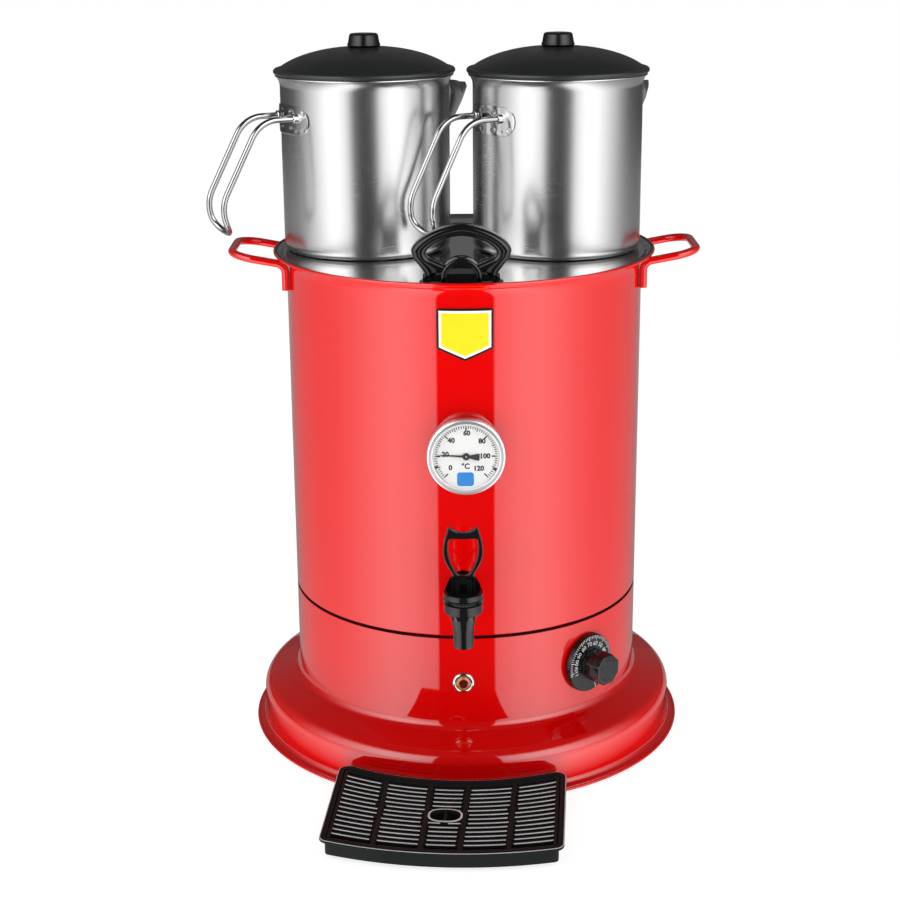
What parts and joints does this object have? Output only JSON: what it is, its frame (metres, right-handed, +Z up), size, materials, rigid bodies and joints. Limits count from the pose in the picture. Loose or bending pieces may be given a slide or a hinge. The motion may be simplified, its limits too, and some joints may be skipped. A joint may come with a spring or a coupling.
{
  "type": "hot water urn",
  "caption": "Free-standing electric hot water urn in red enamel with a dial thermometer, tap, thermostat, drip tray and two lidded steel pots on its lid.",
  "frame": {"origin": "on the urn's axis, on the surface the rubber feet stand on", "axes": "+Z up along the urn's axis, -Y to the front where the tap is, +X to the right seen from the front"},
  "size_m": [0.4355, 0.5236, 0.6413],
  "materials": {
    "red_enamel": "glossy enamel",
    "sheet_steel": "plain zinc-coated sheet",
    "rubber": "matt",
    "zinc_steel": "zinc plated",
    "tank_steel": "satin stainless",
    "glass_wool": "fibrous",
    "badge_print": "printed plate, plain",
    "gauge_bezel": "bright",
    "gauge_face": "printed dial",
    "gauge_needle": "black",
    "gauge_glass": "clear",
    "brass": "turned",
    "black_plastic": "glossy phenolic",
    "silicone": "matt silicone",
    "spring_steel": "drawn wire",
    "chrome_trim": "polished",
    "amber_lens": "facetted lens",
    "white_plastic": "moulded",
    "copper": "copper tube",
    "cutout_plastic": "moulded",
    "heater_steel": "dull sheath",
    "wire_insulation": "silicone leads",
    "polished_steel": "polished stainless",
    "pot_steel": "brushed stainless",
    "lid_black": "satin black",
    "tray_plastic": "satin black"
  },
  "bodies": {
    "urn": {"base_skirt": "red_enamel", "foot_ring": "red_enamel", "bottom_cover": "sheet_steel", "rubber_feet": "rubber", "cover_screws": "zinc_steel", "body_shell": "red_enamel", "side_handle_left": "red_enamel", "side_handle_right": "red_enamel", "inner_tank": "tank_steel", "insulation_wrap": "glass_wool", "badge_plate": "badge_print", "gauge_case": "gauge_bezel", "gauge_dial": "gauge_face", "gauge_lens": "gauge_glass", "gauge_stem": "tank_steel", "tank_nuts": "brass", "tap_body": "black_plastic", "tap_spout": "black_plastic", "tap_collar": "black_plastic", "tap_bonnet": "black_plastic", "tap_spring": "spring_steel", "tap_washers": "rubber", "lamp_bezel": "chrome_trim", "lamp_lens": "amber_lens", "lamp_body": "white_plastic", "lamp_nut": "white_plastic", "thermostat_body": "white_plastic", "thermostat_screws": "zinc_steel", "thermostat_bulb": "copper", "safety_cutout": "cutout_plastic", "heating_element": "heater_steel", "terminal_block": "white_plastic", "wiring": "wire_insulation", "earth_stud": "brass", "cable_gland": "black_plastic"},
    "gauge_pointer": {"gauge_pointer": "gauge_needle"},
    "tap_stem": {"tap_stem": "zinc_steel", "tap_seat_cup": "silicone", "tap_lever_pin": "zinc_steel"},
    "tap_lever": {"tap_lever": "black_plastic"},
    "thermostat_knob": {"thermostat_knob": "black_plastic", "thermostat_shaft": "zinc_steel"},
    "urn_lid": {"urn_lid": "polished_steel", "lid_handle": "black_plastic", "lid_handle_screws": "zinc_steel"},
    "pot_left": {"pot_left_body": "pot_steel", "pot_left_spout": "pot_steel", "pot_left_bracket": "pot_steel", "pot_left_handle": "pot_steel"},
    "pot_left_lid": {"pot_left_lid": "lid_black", "pot_left_knob": "lid_black"},
    "pot_right": {"pot_right_body": "pot_steel", "pot_right_spout": "pot_steel", "pot_right_bracket": "pot_steel", "pot_right_handle": "pot_steel"},
    "pot_right_lid": {"pot_right_lid": "lid_black", "pot_right_knob": "lid_black"},
    "drip_tray": {"drip_tray": "tray_plastic", "tray_feet": "rubber"},
    "drip_grille": {"drip_grille": "tray_plastic"}
  },
  "joints": [
    {"name": "pointer_turn", "type": "hinge", "parent": "urn", "child": "gauge_pointer", "pos_m": [-0.0006, -0.1603, 0.3065], "axis": [0, 1, 0], "range_deg": [-48, 221]},
    {"name": "valve_lift", "type": "slide", "parent": "urn", "child": "tap_stem", "axis": [0, 0, 1], "range_m": [0, 0.004], "deforming": ["tap_spring"]},
    {"name": "lever_tilt", "type": "hinge", "parent": "tap_stem", "child": "tap_lever", "pos_m": [-0.004, -0.22, 0.212], "axis": [1, 0, 0], "range_deg": [0, 45], "stiffness_Nm_per_rad": 0.08},
    {"name": "knob_turn", "type": "hinge", "parent": "urn", "child": "thermostat_knob", "pos_m": [0.10773, -0.11965, 0.0975], "axis": [0.6691, -0.7431, 0], "range_deg": [-100, 165]},
    {"name": "lid_lift", "type": "slide", "parent": "urn", "child": "urn_lid", "axis": [0, 0, 1], "range_m": [0, 0.15]},
    {"name": "pot_left_lift", "type": "slide", "parent": "urn_lid", "child": "pot_left", "axis": [0, 0, 1], "range_m": [0, 0.2]},
    {"name": "pot_left_lid_lift", "type": "slide", "parent": "pot_left", "child": "pot_left_lid", "axis": [0, 0, 1], "range_m": [0, 0.1]},
    {"name": "pot_right_lift", "type": "slide", "parent": "urn_lid", "child": "pot_right", "axis": [0, 0, 1], "range_m": [0, 0.2]},
    {"name": "pot_right_lid_lift", "type": "slide", "parent": "pot_right", "child": "pot_right_lid", "axis": [0, 0, 1], "range_m": [0, 0.1]},
    {"name": "tray_slide", "type": "slide", "parent": "urn", "child": "drip_tray", "axis": [-0.0802, -0.9968, 0], "range_m": [0, 0.15]},
    {"name": "grille_lift", "type": "slide", "parent": "drip_tray", "child": "drip_grille", "axis": [0, 0, 1], "range_m": [0, 0.08]}
  ],
  "couplings": [
    {"joint": "valve_lift", "follows": "lever_tilt", "m_per_rad": 0.005092}
  ]
}
